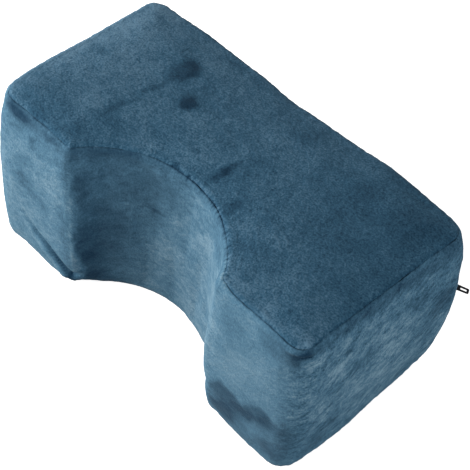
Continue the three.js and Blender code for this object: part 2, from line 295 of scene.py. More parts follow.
def crowned(sunk):
    """Heights over the flat top: they rise by the crown from the rim to the level middle."""

    def heights(inner, ring):
        edge = KDTree(len(ring))
        for i, p in enumerate(ring):
            edge.insert((p[0], p[1], 0), i)
        edge.balance()
        away = np.array([edge.find((x, y, 0))[2] for x, y in inner])
        share = np.clip(1 - away / crown_width, 0, 1)
        return rim_top - sunk + crown * (1 - share**2)

    return heights


def flat_at(z):
    return lambda inner, ring: np.full(len(inner), z)


def places(obj):
    co = np.zeros(len(obj.data.vertices) * 3)
    obj.data.vertices.foreach_get("co", co)
    return co.reshape(-1, 3) / mm


coarse = Plan(half_scoop=14, lip=2, wing=10, corner=6, end=22, back=52)
foot_steps, wall_steps, rim_steps = 3, 26, 3


def block(name, swelling):
    rings = [coarse.foot(level * i / foot_steps, foot_radius) for i in range(foot_steps)]
    rings += [coarse.wall(k / wall_steps, swelling) for k in range(wall_steps + 1)]
    rings += [coarse.rim(level * (i + 1) / rim_steps, rim_radius) for i in range(rim_steps)]
    return skin(name, coarse, rings, flat_at(0), crowned(0))


# The cover's cloth is filled by a simulation: it starts a little slack, the pressure of the foam
# swells it, and it is held at its seams. It may settle a little away from the block's own shape,
# and hardly at all beside the zip, whose tape keeps the back straight there.
slack = 0.6
foam_pressure, simulated_steps, simulated_quality = 4, 20, 6
held_at_foot, held_at_seam = 1, 2.5
settles, settles_at_zip = 1.3, 0.1
zip_height, zip_calms, zip_side_from = 86.3, 40, 70
filling = block("filling", 1)
bpy.ops.object.select_all(action="DESELECT")
bpy.context.view_layer.objects.active = filling
bpy.ops.object.mode_set(mode="EDIT")
bpy.ops.mesh.select_all(action="SELECT")
bpy.ops.mesh.quads_convert_to_tris()
bpy.ops.object.mode_set(mode="OBJECT")
block_shape = places(filling)
swollen = block_shape.copy()
bpy.ops.object.select_all(action="DESELECT")
blown = block("blown_cover", slack)
bpy.context.view_layer.objects.active = blown
z = places(blown)[:, 2]
seam_z = rim_top - rim_radius * (1 - sin(seam_angle))
foot_z = foot_radius * (1 - cos(seam_angle))
held = blown.vertex_groups.new(name="held")
sewn = (z < foot_z + held_at_foot) | (np.abs(z - seam_z) < held_at_seam)
held.add(np.flatnonzero(sewn).tolist(), 1.0, "REPLACE")
pressure = blown.modifiers.new("pressure", "CLOTH")
pressure.settings.use_pressure = True
pressure.settings.uniform_pressure_force = foam_pressure
pressure.settings.effector_weights.gravity = 0
pressure.settings.vertex_group_mass = held.name
pressure.settings.quality = simulated_quality
pressure.point_cache.frame_start, pressure.point_cache.frame_end = 1, simulated_steps
for step in range(1, simulated_steps + 1):
    scene.frame_set(step)
bpy.ops.object.modifier_apply(modifier=pressure.name)
moved = places(blown) - block_shape
bpy.data.objects.remove(blown)
scene.frame_set(1)
far = np.linalg.norm(moved, axis=1, keepdims=True)
y, z = block_shape[:, 1:2], block_shape[:, 2:]
by_zip = np.clip(1 - np.abs(z - zip_height) / zip_calms, 0, 1) * (y > zip_side_from)
cap = settles + (settles_at_zip - settles) * np.minimum(2 * by_zip, 1)
swollen += moved * cap * np.tanh(far / cap) / np.maximum(far, 1e-6)
filling.shape_key_add(name="block")
filling.shape_key_add(name="swollen").data.foreach_set("co", (swollen * mm).ravel())

# The pile stands a little unevenly, in tufts and in wider waves: how long and how deep, in metres.
pile_waves = ((0.0045, 0.0005), (0.012, 0.0006), (0.035, 0.0012))


def filled(piece):
    """The piece of cloth follows the filling from the plain block to its swollen shape."""
    bpy.ops.object.select_all(action="DESELECT")
    piece.select_set(True)
    bpy.context.view_layer.objects.active = piece
    swelling = filling.data.shape_keys.key_blocks["swollen"]
    swelling.value = 0
    follow = piece.modifiers.new("follow", "SURFACE_DEFORM")
    follow.target = filling
    bpy.ops.object.surfacedeform_bind(modifier=follow.name)
    swelling.value = 1
    bpy.ops.object.modifier_apply(modifier=follow.name)
    for wave, deep in pile_waves:
        cloud = bpy.data.textures.new("pile", "CLOUDS")
        cloud.noise_scale = wave
        uneven = piece.modifiers.new("uneven", "DISPLACE")
        uneven.texture, uneven.texture_coords = cloud, "LOCAL"
        uneven.strength, uneven.mid_level = deep, 0.5
        bpy.ops.object.modifier_apply(modifier=uneven.name)


# The side band is one strip of velour round the whole block, sewn to both panels. With the foam in
# it, it is the body of the pillow: it swells between its seams, and the zip lies in its back.
fine = Plan(half_scoop=56, lip=8, wing=38, corner=20, end=88, back=204)
outline = fine.at(0)[0]
outline_x, outline_y = outline.T
ripple_deep, ripple_long = 0.5, 4.5
seam_sink, seam_soft, seam_gap = 0.9, 1.3, 0.1
rim_split = seam_gap / 2 / (rim_radius - under)
foot_split = seam_gap / 2 / (foot_radius - under)


def rise(value, start, full):
    """0 up to the start, 1 where it is full, and even between them."""
    return np.clip((value - start) / (full - start), 0, 1)


def bell(away, reach):
    """1 in the middle, and hardly anything at twice the reach."""
    return np.exp(-((away / reach) ** 2))


def round_outline(size):
    """Even noise at each point of the outline, in bumps of this size."""
    return np.array([noise.noise(Vector((x, y, 0)) / size) for x, y in outline])


fine.ripple = ripple_deep * round_outline(ripple_long)
in_front = outline_y < 0
by_end = rise(outline_x, 168, 176)
on_left_wing = rise(outline_x, -96, -122) * rise(outline_y, -58, -82)
on_right_lip = bell(outline_x - 88, 15) * (outline_y < -40)
# The top seam lies further in on the left wing and at the right lip, and is never quite straight.
high_seam, lip_rise, seam_sways = radians(50), radians(22), ((34, 4), (11, 2))
rim_seam = seam_angle + (high_seam - seam_angle) * on_left_wing**2 * (3 - 2 * on_left_wing)
rim_seam += lip_rise * on_right_lip
for wave, sway in seam_sways:
    swayed = [noise.noise(Vector((x / wave, y / wave, wave))) for x, y in outline]
    rim_seam += radians(sway) * np.array(swayed)
# The pile closes over it in the scoop's left half, and partly at the right lip and the right end.
closed_over = rise(outline_x, -122, -88) * rise(outline_x, -8, -38) * in_front
closed_over = np.maximum(closed_over, np.maximum(0.5 * on_right_lip, 0.35 * by_end))
rim_sink = seam_sink * (1 - 0.9 * closed_over)

drag_crease = [
    {"x": -141, "z": 62, "deep": 0, "half_width": 2.2},
    {"x": -124, "z": 44.5, "deep": 2.2, "half_width": 2.6},
    {"x": -104, "z": 33, "deep": 4.6, "half_width": 3.2},
    {"x": -86, "z": 18.5, "deep": 6, "half_width": 3.8},
]
crease_ease = 4
roll_below, roll_half_width, roll_share = 8.5, 4.4, 0.6
# The crease's fold is painted with shade, and the roll below it with a painted highlight.
fold_below, fold_half_width, fold_painted_shade = 2.2, 2.2, 0.9
roll_painted_highlight, roll_highlight_half_width = 0.3, 2.6
dimple = {"x": 177, "y": -90, "z": 164, "deep": 3.2, "radius": 7.5}
# Painted shade in the dimple at the near corner and below it.
dimple_painted_shades = [
    {"at": (177, -90.5, 165), "reach": (8, 8, 4.4), "dark": 1.2},
    {"at": (173, -92, 154), "reach": (4, 6, 11), "dark": 0.5},
]
zip_from, zip_to = -150, 170
channel_half, channel_floor = 7, 94.0


def crease_at(x, z):
    """For each point: how far the crease's line is, how deep and wide the crease is there, and how
    far below its line the point lies."""
    nearest, deep = np.full(len(x), np.inf), np.zeros(len(x))
    half_width, below = np.ones(len(x)), np.zeros(len(x))
    for a, b in zip(drag_crease, drag_crease[1:]):
        run_x, run_z = b["x"] - a["x"], b["z"] - a["z"]
        run = hypot(run_x, run_z)
        t = np.clip(((x - a["x"]) * run_x + (z - a["z"]) * run_z) / run**2, 0, 1)
        away = np.hypot(x - a["x"] - t * run_x, z - a["z"] - t * run_z)
        under_line = ((x - a["x"]) * run_z - (z - a["z"]) * run_x) / run
        sizes = (a[key] + (b[key] - a[key]) * t for key in ("deep", "half_width"))
        here, kept = (away, *sizes, under_line), (nearest, deep, half_width, below)
        pairs = zip(here, kept)
        nearest, deep, half_width, below = [np.where(away < nearest, *pair) for pair in pairs]
    return nearest, deep, half_width, below


def pressed(ring):
    """How far the crease and the dimple press each point of the band inwards."""
    x, y, z = ring.T
    from_dimple = np.sqrt((x - dimple["x"]) ** 2 + (y - dimple["y"]) ** 2 + (z - dimple["z"]) ** 2)
    press = dimple["deep"] * bell(from_dimple, dimple["radius"])
    nearest, deep, half_width, below = crease_at(x, z)
    along = bell(nearest - np.abs(below), crease_ease)
    roll = roll_share * bell(below - roll_below, roll_half_width) * along
    return press + np.where(y > 0, 0, deep * (bell(nearest, half_width) - roll))


def sunk(away, sink=seam_sink):
    """How deep the seam has pulled the pile at a distance from it."""
    return sink * np.exp(-away / seam_soft)


# The wall's rows are even but for those that shape the folded edges beside the zip.
row, even_beyond = 1.67, 9.4
fold_rows = (8.6, 8.1, 7.7, 7.35, 7.15, 7.0, 6.6, 5.6, 4, 2.4, 0.8)
wall_top = foot_radius + wall_height
even_rows = np.arange(foot_radius, wall_top - row / 2, row)
wall_rows = [z for z in even_rows if abs(z - zip_height) > even_beyond]
wall_rows += [zip_height + side * away for away in fold_rows for side in (-1, 1)]
wall_rows = sorted(wall_rows) + [wall_top]
seam_shares = (0.02, 0.06, 0.11, 0.17, 0.25, 0.35, 0.48, 0.64, 0.82)


def foot_row(share):
    angle = seam_angle + (level - seam_angle) * share
    return fine.foot(angle, foot_radius - sunk((angle - seam_angle) * foot_radius))


def rim_row(share):
    angle = rim_seam * (1 - share)
    return fine.rim(angle, rim_radius - sunk((rim_seam - angle) * rim_radius, rim_sink))


band_rings = [
    fine.foot(0, foot_radius - under),
    fine.foot(radians(25), foot_radius - under),
    fine.foot(seam_angle + foot_split, foot_radius - under),
    fine.foot(seam_angle + foot_split, foot_radius - seam_sink),
    *(foot_row(share) for share in seam_shares),
    *(fine.wall((z - foot_radius) / wall_height, 1, pressed) for z in wall_rows),
    *(rim_row(share) for share in reversed(seam_shares)),
    fine.rim(rim_seam - rim_split, rim_radius - rim_sink),
    fine.rim(rim_seam - rim_split, rim_radius - under),
    fine.rim(level, rim_radius - under),
]
# The band is folded in round the zip, so its edge there is soft, and drops to the channel's floor.
back_from, end_clear = 80, 0.3
fold_deep, fold_from, fold_full = 0.9, -1.6, -0.1
drop_from, drop_full = -0.1, 0.1
for ring in band_rings:
    x, y, z = ring.T
    from_ends = np.minimum(x - zip_from, zip_to - x) + end_clear
    inside = np.minimum(channel_half - np.abs(z - zip_height), from_ends)
    folded = fold_deep * rise(inside, fold_from, fold_full) ** 2
    dropped = (y - np.minimum(y, channel_floor)) * rise(inside, drop_from, drop_full)
    y -= np.where(y > back_from, np.maximum(folded, dropped), 0)


class Shade:
    """A value in a material's nodes, which adds and multiplies like a number."""

    def __init__(self, tree, socket=None):
        self.tree, self.socket = tree, socket

    def make(self, kind, inputs, out=0, **settings):
        """A new node with its settings and its inputs' values or links, and one of its outputs."""
        node = self.tree.nodes.new(kind)
        for name, value in settings.items():
            setattr(node, name, value)
        for name, value in inputs.items():
            if isinstance(value, Shade):
                self.tree.links.new(value.socket, node.inputs[name])
            else:
                node.inputs[name].default_value = value
        return Shade(self.tree, node.outputs[out])

    def math(self, operation, a, b):
        return self.make("ShaderNodeMath", {0: a, 1: b}, operation=operation)

    def __add__(self, other):
        return self.math("ADD", self, other)

    def __sub__(self, other):
        return self.math("SUBTRACT", self, other)

    def __rsub__(self, other):
        return self.math("SUBTRACT", other, self)

    def __mul__(self, other):
        return self.math("MULTIPLY", self, other)

    __radd__, __rmul__ = __add__, __mul__

    def between(self, low, high):
        """0 at low and 1 at high, even between them."""
        return self.make("ShaderNodeMapRange", {"Value": self, "From Min": low, "From Max": high})

    def mix(self, a, b):
        """The colour a at 0 and b at 1. Each is three numbers or another value."""
        a, b = (c if isinstance(c, Shade) else (*c, 1) for c in (a, b))
        return self.make("ShaderNodeMix", {0: self, 6: a, 7: b}, out=2, data_type="RGBA")

    def noise(self, scale, detail, long=(1, 1, 1), turn=(0, 0, 0), at=None):
        """Noise round 0 in the object's own space, drawn out and turned where it is streaky."""
        spot = at or self.make("ShaderNodeTexCoord", {}, out="Object")
        inputs = {"Vector": spot, "Rotation": [radians(a) for a in turn], "Scale": long}
        turned = self.make("ShaderNodeMapping", inputs, vector_type="TEXTURE")
        inputs = {"Vector": turned, "Scale": scale, "Detail": detail, "Roughness": 0.55}
        return self.make("ShaderNodeTexNoise", inputs) - 0.5

    def attribute(self, name, out="Fac"):
        return self.make("ShaderNodeAttribute", {}, out=out, attribute_name=name)

    def drive(self, shader, name):
        self.tree.links.new(self.socket, shader.inputs[name])

    def emboss(self, shader, strength, deep):
        """The value as a height stands out from the surface, deep in metres."""
        inputs = {"Strength": strength, "Distance": deep, "Height": self}
        self.make("ShaderNodeBump", inputs).drive(shader, "Normal")


def material(name, **sockets):
    """A new material, its shader with these sockets set, and a value to start its nodes from."""
    made = bpy.data.materials.new(name)
    made.use_nodes = True
    shader = made.node_tree.nodes["Principled BSDF"]
    for socket, value in sockets.items():
        shader.inputs[socket.replace("_", " ")].default_value = value
    return made, shader, Shade(made.node_tree)


def velour(name, dark, middle, pale, long, turn, grain):
    """Short dense pile, which looks dark where it lies down and pale where it stands. Its pale end
    is whitened as painted sheen, its marks carry painted shade and highlight too, and where the
    seam gathers the cloth its little folds are painted light and dark. long and turn draw out its
    streaks, and grain is how rough it looks."""
    made, shader, start = material(
        name,
        Roughness=0.95,
        Specular_IOR_Level=0.06,
        Sheen_Weight=0.15,
        Sheen_Roughness=0.5,
        Sheen_Tint=(0.5, 0.79, 1, 1),
    )
    tousled = start.attribute("tousled")
    gathers = start.attribute("gathers")
    cloudy = start.noise(26, 1)
    patchy = start.noise(85, 1, long, turn)
    tufted = start.noise(260, 1, long, turn)
    woolly = start.noise(640, 2)
    pucker = start.noise(420, 0, at=start.attribute("seam_at", "Vector")) * gathers
    marked = start.attribute("nap_and_shading") * (0.5 + patchy * 0.7)
    lie = 0.5 + marked + cloudy * 0.5 + patchy * (0.24 + tousled * 0.36)
    # Pile that lies quite flat, or the deepest painted shade, is still not black.
    flattest = 0.09
    lie = flattest + lie.between(0, 1) * (1 - flattest)
    fleecy = tufted * (0.72 + tousled * 0.95) + woolly * (grain + tousled * 0.7)
    # Where the seam gathers the cloth, its little folds are painted light and dark here as well as
    # bumped.
    lie = lie * (1 + fleecy * (1.5 - lie * 0.9) + pucker * 3)
    shaded = lie.between(0, 0.5).mix(dark, middle)
    lie.between(0.5, 1).mix(shaded, pale).drive(shader, "Base Color")
    (tufted * 0.6 + woolly + pucker).emboss(shader, 0.5, 0.0012)
    return made


# Marks on the velour. Some are where the pile has been brushed the other way: down and dark (lie
# under 0) or up and pale. Many are painted shade and painted highlight: dark along rims, in the
# scoop, at the feet and round the near corner, pale along lit edges such as the scoop's left lip
# and the near corner's rolled edge. A mark has its middle, its half length and half width, how the
# pile lies in it or how dark or pale it is painted, how soft its edge is, its turn in degrees and
# how far its lower side fades. wander is how far its outline strays, by size, and the fixed seed
# keeps the strays the same in each run.
wander = {14.0: 3.6, 5.0: 1.5}
noise.seed_set(4)
mark_columns = ("u", "v", "long", "wide", "lie", "soft", "turn", "fade")
usual_mark = {"soft": 0.9, "turn": 0, "fade": 0}
front_marks = [
    (-128.5, 146, 6, 3.2, -0.4, 0.5, -50), (-147, 152, 5, 2.4, -0.2, 0.7),
    (-152, 165, 15, 7, -0.85, 0.8, -8), (-120, 166, 26, 5, -0.3), (-137, 109, 9, 8, -0.22, 0.8),
    (-136, 112, 4, 3.4, 0.3, 0.6), (-137, 103, 9, 3, -0.25, 0.8, -8),
    (-127, 92, 19, 6, -0.32, 0.8, -10), (-112, 85, 6, 3, -0.2, 0.7, -30),
    (-104, 37, 16, 4, -0.15, 0.8, -33), (-130, 53, 17, 2, 0.2, 0.7, -42),
    (-110, 67, 4, 3.4, -0.2, 0.8), (-81.5, 78, 4, 62, 0.4, 0.7), (-78, 128, 4, 16, -0.4, 0.7),
    (-79.5, 42, 3, 30, 0.45, 0.6), (-63, 66, 24, 56, -0.78, 0.7), (-62, 146, 26, 20, -0.55),
    (-16, 146, 16, 16, -0.4), (-104, 166, 12, 7, -0.3, 0.8), (-52, 136, 10, 5, -0.25, 0.9, -40),
    (-72, 50, 10, 14, -0.25), (-28, 108, 8, 20, -0.25), (-55, 136, 8, 6, 0.25),
    (-79.5, 86, 3, 16, 0.35, 0.7), (-71, 92, 6, 9, 0.35, 0.8), (-40, 66, 8, 46, 0.25),
    (-72, 15, 9, 10, -0.5, 0.8), (45, 152, 18, 10, -0.4), (-45, 100, 12, 14, -0.1, 0.8),
    (-31, 118.5, 10, 3.5, -0.5), (-32, 76, 3.5, 3, -0.35, 0.6), (-40, 118, 14, 1.6, 0.3, 0.7, 10),
    (20, 137, 6, 3.4, -0.35, 0.6, -38), (12, 128, 8, 10, -0.3, 0.8), (32, 90, 22, 70, 0.15),
    (-82, 7, 6, 6, -0.5, 0.7), (129, 74, 14, 8, -0.3), (82, 167, 10, 8, -0.6),
    (70, 90, 16, 70, 0.35, 0.8), (111, 50, 20, 17, -0.76, 0.2, 8, 0.8),
    (104, 26, 14, 12, -0.6, 0.5), (147, 61, 17, 13, -0.78, 0.3, 12, 0.9),
    (134, 52, 7, 8, -0.35, 0.7), (161, 32, 15, 13, -0.5, 0.7), (120, 20, 40, 14, -0.45, 0.8),
    (160, 160, 18, 10, -0.5, 0.8), (136, 101, 12, 10, -0.3), (172, 63, 6, 22, -0.5, 0.8),
]
# Marks on the right end: brushed pile, and painted shade and highlight as well.
end_marks = [
    (-42, 141, 9, 3, -0.3, 0.5, 45), (-29, 114, 8, 4.5, -0.3, 0.7, 10), (11, 115, 7, 10, -0.3, 0.8),
    (50, 109, 8, 6, -0.2, 0.8), (-38, 96, 8, 7, 0.25, 0.8), (-38, 89, 6, 1.8, -0.25, 0.6),
    (-48, 54, 12, 10, -0.5, 0.8), (-84, 64, 8, 20, -0.3, 0.8), (-58, 22, 22, 12, -0.35),
    (-28, 65, 6, 5, -0.3, 0.8), (-63, 42, 6, 14, -0.4, 0.8), (-1, 73, 11, 8, 0.3, 0.8),
    (68, 112, 12, 14, -0.3, 0.8), (-70, 28, 22, 24, -0.3, 0.8), (-5, 108, 30, 22, 0.15, 0.9, 30),
    (60, 125, 34, 34, -0.2), (30, 132, 38, 9, -0.4, 0.8, -16), (-80, 154, 8, 8, 0.35, 0.8),
]


def brushed(at, marks):
    """How the pile lies at each point of a face of the pillow, with its painted shade and
    highlight, from the marks on it.
    """
    lie = np.zeros(len(at))
    for row in marks:
        mark = {**usual_mark, **dict(zip(mark_columns, row))}
        turn = radians(mark["turn"])
        u, v = at[:, 0] - mark["u"], at[:, 1] - mark["v"]
        along = (u * cos(turn) + v * sin(turn)) / mark["long"]
        across = (v * cos(turn) - u * sin(turn)) / mark["wide"]
        soft = np.where(across < 0, max(mark["soft"], mark["fade"]), mark["soft"])
        share = np.clip((1 + soft - np.hypot(along, across)) / (2 * soft), 0, 1)
        lie += mark["lie"] * share * share * (3 - 2 * share)
    return lie


seam_points = fine.rim(rim_seam, rim_radius - rim_sink)
seam_tree = KDTree(fine.count)
for i, point in enumerate(stuffed(seam_points)):
    seam_tree.insert(point, i)
seam_tree.balance()
# How strongly the seam gathers the cloth beside it: most round the scoop's right half.
least_gathered, gather_reach = 0.25, 5
gathered = rise(outline_x, -45, -15) * rise(outline_x, 100, 80) * in_front
gathered = least_gathered + (1 - least_gathered) * gathered
# In the scoop the band is painted with shade under its rolled rim.
shaded_rolled_edge = rise(outline_x, -92, -82) * rise(outline_x, 80, 64) * in_front
shoulder_shade_reach = 8
# How dark the painted shade along the seam's groove is, and the painted highlight beside it: both
# are broken by the pile, and hardly show at the near corner.
seam_painted_shade, seam_reach = 0.6, 0.9
# The painted highlight on the rolled edge beside the seam: how far from it, and its reach.
seam_highlight_away, seam_highlight_reach = 2.4, 1.1
at_near_corner = np.exp(-(((outline_x - 175) / 7) ** 2 + ((outline_y + 88) / 7) ** 2))
hidden_seam = np.maximum(0.4 * np.maximum(on_left_wing, by_end), 0.8 * at_near_corner)
open_seam = (1 - 0.9 * closed_over) * np.clip(0.8 + round_outline(9), 0.2, 1.2)
open_seam *= 1 - hidden_seam
# The right wing's front was combed smooth.
combed_smooth = 0.3


def nap_and_shading(piece, marks, seam_painted_highlight=0, shoulder_shade=0, end_shade=(0, 0, 1)):
    """Stores how the pile lies at each point of a piece, with the painted shade and highlight
    there, how tousled it is, how much the seam gathers it and where the seam is. halo and shoulder
    are how strong the painted highlight beside the seam and the painted shade under the scoop's rim
    are, and end_shade is how strong the painted shade along the right end is, how far from the
    seam, and its reach."""
    at = places(piece)
    strayed = at.copy()
    for size, stray in wander.items():
        strayed += stray * np.array([noise.noise_vector(Vector(p / size)) for p in at])
    x, y, z = at.T
    on_top = rise(z, 168, 174)
    on_end = rise(x, 172, 180) * (1 - on_top)
    on_front = (y < 0) * (1 - on_top) * (1 - on_end)
    lie = on_top * brushed(strayed[:, [0, 1]], marks.get("top", ()))
    lie += on_front * brushed(strayed[:, [0, 2]], marks.get("front", ()))
    lie += on_end * brushed(strayed[:, [1, 2]], marks.get("end", ()))
    # Painted shade in the crease's fold and a painted highlight on its roll.
    nearest, deep, half_width, below = crease_at(x, z)
    along = bell(nearest - np.abs(below), crease_ease)
    in_fold = bell(below - fold_below, fold_half_width) * along
    on_roll = bell(below - roll_below, roll_highlight_half_width) * along
    lie -= on_front * rise(deep, 0, 5) * (fold_painted_shade * in_fold - roll_painted_highlight * on_roll)
    for shade in dimple_painted_shades:
        from_shade = (strayed - shade["at"]) / shade["reach"]
        lie -= shade["dark"] * np.exp(-(from_shade**2).sum(axis=1))
    found = [seam_tree.find(p) for p in at]
    seam_at, column, away = (np.array(each) for each in zip(*found))
    # Painted shade along the seam, and a painted highlight beside it.
    lie -= seam_painted_shade * open_seam[column] * bell(away, seam_reach)
    lie += seam_painted_highlight * open_seam[column] * bell(away - seam_highlight_away, seam_highlight_reach)
    # Painted shade under the scoop's rim.
    lie -= shoulder_shade * shaded_rolled_edge[column] * bell(away, shoulder_shade_reach)
    # Painted shade along the right end, below its seam.
    shade, shade_away, shade_reach = end_shade
    lie -= shade * by_end[column] * bell(away - shade_away, shade_reach)
    combed = combed_smooth * on_front * rise(x, 92, 102) * rise(x, 168, 158)
    values = {
        "nap_and_shading": lie,
        "tousled": rise(x, 166, 182) * (1 - on_top) - combed,
        "gathers": gathered[column] * rise(away, gather_reach, 0) ** 1.5,
    }
    for name, value in values.items():
        stored = piece.data.attributes.new(name, "FLOAT", "POINT")
        stored.data.foreach_set("value", value.astype(np.float32))
    stored = piece.data.attributes.new("seam_at", "FLOAT_VECTOR", "POINT")
    stored.data.foreach_set("vector", (seam_at * mm).ravel())


# The band's velour is painted lighter and paler than the top panel's: partly for how its pile lies,
# and partly as painted light and sheen on the walls.
lit_band_velour = velour(
    "lit_band_velour",
    dark=(0.001, 0.021, 0.057),
    middle=(0.086, 0.21, 0.322),
    pale=(0.268, 0.436, 0.556),
    long=(2, 2, 1),
    turn=(25, -10, 0),
    grain=1.2,
)
side_band = skin("side_band_velour", fine, band_rings, None, None)
filled(side_band)
band_marks = {"front": front_marks, "end": end_marks}
nap_and_shading(side_band, band_marks, shoulder_shade=0.5, end_shade=(0.62, 6, 9))
side_band.data.materials.append(lit_band_velour)
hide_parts("side_band")
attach(side_band, "root")

# The top panel is one C-shaped piece of velour, crowned over the foam and turned over its edge down
# to the seam. It is a sheet of cloth with its own thickness.


def panel_row(share):
    angle = rim_seam + (level - rim_seam) * share
    return fine.rim(angle, rim_radius - sunk((angle - rim_seam) * rim_radius, rim_sink))


# Marks on the top: brushed pile, and painted shade and highlight along its rims and at the near
# corner.
top_marks = [
    (-89, 38, 16, 11, -0.95, 0.45, 82), (-90, 47, 6, 6, -0.2, 0.6),
    (-90, 4, 19, 2.6, -0.5, 0.8, 84), (-95, -33, 14, 3.4, -0.55, 0.8, 80),
    (-58.5, 15, 8, 8, -1.35, 0.6), (-17.5, -38.5, 4.5, 4, -1.3, 0.6),
    (13, -16, 14, 4.4, -0.7, 0.8, 85), (44, -34, 11, 4.5, -0.65, 0.8, 90),
    (-161, 1, 4, 9, -0.6, 0.8), (-161, -14, 7, 3, -0.3, 0.6, 75), (-152, 5, 5, 8, -0.45, 0.8),
    (-159, -30, 6, 2.4, -0.3, 0.6, 20), (105, 56, 9, 7, -0.25, 0.8, 30), (89, 25, 7, 6, -0.25, 0.8),
    (125, 36, 10, 8, -0.18, 0.8, 20), (-66, 78, 7, 3.5, -0.38, 0.6), (-41, 77, 15, 2.6, -0.3, 0.6),
    (20, 66, 32, 13, -0.25), (-136, -66, 22, 26, -0.2), (-130, -86, 14, 5, -0.25, 0.7),
    (63, 38, 12, 2, 0.2, 0.8, 48), (-55, -58, 8, 1.2, 0.5, 0.6, 30), (-150, 50, 22, 30, 0.26),
    (-140, 0, 36, 60, 0.3), (150, 15, 45, 50, -0.29), (165, 70, 30, 22, -0.3),
    (100, 86, 42, 8, -0.25), (-170, 0, 9, 110, 0.45), (135, -88, 55, 7, 0.25),
    (-52, -40, 14, 10, 0.35, 0.9, -40), (82, -53, 14, 10, -0.45), (13, -19, 8, 8, -0.3),
    (-74, 80, 10, 6, -0.4), (-73, -60, 15, 9, 0.3), (160, -48, 10, 8, 0.3), (112, -52, 45, 32, 0.1),
    (172, -85, 9, 6, 0.6, 0.8), (174, -89, 9, 3.5, 0.8, 0.8, 45), (145, -8, 22, 14, 0.28),
    (74, -27, 10, 8, -0.3), (150, 45, 28, 16, -0.25), (-78, -31, 10, 8, 0.25),
    (-120, 30, 10, 12, -0.28), (32, 57, 10, 8, -0.25), (-157, 81, 14, 8, 1.3, 0.8),
    (15, 81, 12, 5, 0.3), (-98, 79, 10, 6, 0.25), (-95, -69, 9, 7, -0.25),
    (-134, -80, 9, 5, -0.25, 0.8, -20), (-170, -60, 8, 12, -0.3), (101, -84, 9, 6, 0.35),
    (150, -78, 10, 8, -0.2), (-169, -78, 7, 6, 0.3), (168, -5, 14, 10, -0.25),
    (-64, 28, 8, 5, 0.25),
]
# The panel's velour is painted darker than the band's, the other side of that painted difference in
# light.
panel_velour = velour(
    "panel_velour",
    dark=(0.001, 0.017, 0.044),
    middle=(0.036, 0.112, 0.192),
    pale=(0.116, 0.236, 0.35),
    long=(1, 1.4, 1),
    turn=(0, 0, 35),
    grain=2.1,
)
top_panel = skin(
    "top_panel_velour",
    fine,
    [
        fine.rim(level, rim_radius - cloth),
        fine.rim(rim_seam + (level - rim_seam) * 0.5, rim_radius - cloth),
        fine.rim(rim_seam + rim_split, rim_radius - cloth),
        fine.rim(rim_seam + rim_split, rim_radius - rim_sink),
        *(panel_row(share) for share in seam_shares),
        panel_row(1),
    ],
    crowned(cloth),
    crowned(0),
)
filled(top_panel)
nap_and_shading(top_panel, {"top": top_marks}, seam_painted_highlight=0.15, end_shade=(0.2, 0, 3))
top_panel.data.materials.append(panel_velour)
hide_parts("top_panel")
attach(top_panel, "root")

# The bottom panel is cut like the top one. It lies flat under the foam where the pillow stands.


def base_row(share):
    angle = seam_angle * share
    return fine.foot(angle, foot_radius - sunk((seam_angle - angle) * foot_radius))


bottom_panel = skin(
    "bottom_panel_velour",
    fine,
    [
        fine.foot(0, foot_radius),
        *(base_row(1 - share) for share in reversed(seam_shares)),
        fine.foot(seam_angle - foot_split, foot_radius - seam_sink),
        fine.foot(seam_angle - foot_split, foot_radius - cloth),
        fine.foot(radians(22), foot_radius - cloth),
        fine.foot(0, foot_radius - cloth),
    ],
    flat_at(0),
    flat_at(cloth),
)
nap_and_shading(bottom_panel, {})
bottom_panel.data.materials.append(panel_velour)
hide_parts("bottom_panel")
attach(bottom_panel, "root")
bpy.data.objects.remove(filling)

# The zip's tape is two woven strips, which lie side by side on the floor of the channel in the
# band's back, sewn behind its folded edges. Each is a little thicker round its edge, where it is
# folded and stitched.
tape_base, tape_thickness, tape_half, tape_split = 94.4, 0.6, 6.6, 0.2
tape_edge, tape_fold, tape_round = 0.9, 0.2, 0.1


def bar(name, low, high):
    """A plain bar between two corners in millimetres, with its place in its mesh."""
    bpy.ops.object.select_all(action="DESELECT")
    middle = [(a + b) / 2 * mm for a, b in zip(low, high)]
    spans = [(b - a) * mm for a, b in zip(low, high)]
    bpy.ops.mesh.primitive_cube_add(size=1, location=middle, scale=spans)
    bpy.ops.object.transform_apply()
    made = bpy.context.active_object
    made.name = made.data.name = name
    return made


def select(kind, parts, test):
    """Selects the faces, edges or points of a mesh that pass a test, and nothing else of it."""
    bpy.ops.object.mode_set(mode="EDIT")
    bpy.ops.mesh.select_mode(type=kind)
    bpy.ops.mesh.select_all(action="DESELECT")
    bpy.ops.object.mode_set(mode="OBJECT")
    for part in parts:
        part.select = bool(test(part))
    bpy.ops.object.mode_set(mode="EDIT")


def pick(piece, test):
    """Selects the faces that pass a test of their middle, in millimetres, and their normal."""
    select("FACE", piece.data.polygons, lambda face: test(face.center / mm, face.normal))


def pick_points(piece, test):
    """Selects the points that pass a test of their place in millimetres."""
    select("VERT", piece.data.vertices, lambda point: test(point.co / mm))


def pull_out(x=0.0, y=0.0, z=0.0):
    """Extrudes the selected faces by a move in millimetres."""
    bpy.ops.mesh.extrude_region_move(TRANSFORM_OT_translate={"value": (x * mm, y * mm, z * mm)})


def rounded(piece, radius, segments=2):
    """Rounds the piece's edges and shades it smooth between its sharp ones."""
    bpy.ops.object.mode_set(mode="OBJECT")
    edge = piece.modifiers.new("edge", "BEVEL")
    edge.width, edge.segments = radius * mm, segments
    edge.limit_method, edge.angle_limit = "ANGLE", radians(35)
    bpy.ops.object.modifier_apply(modifier=edge.name)
    bpy.ops.object.shade_smooth_by_angle(angle=radians(40))


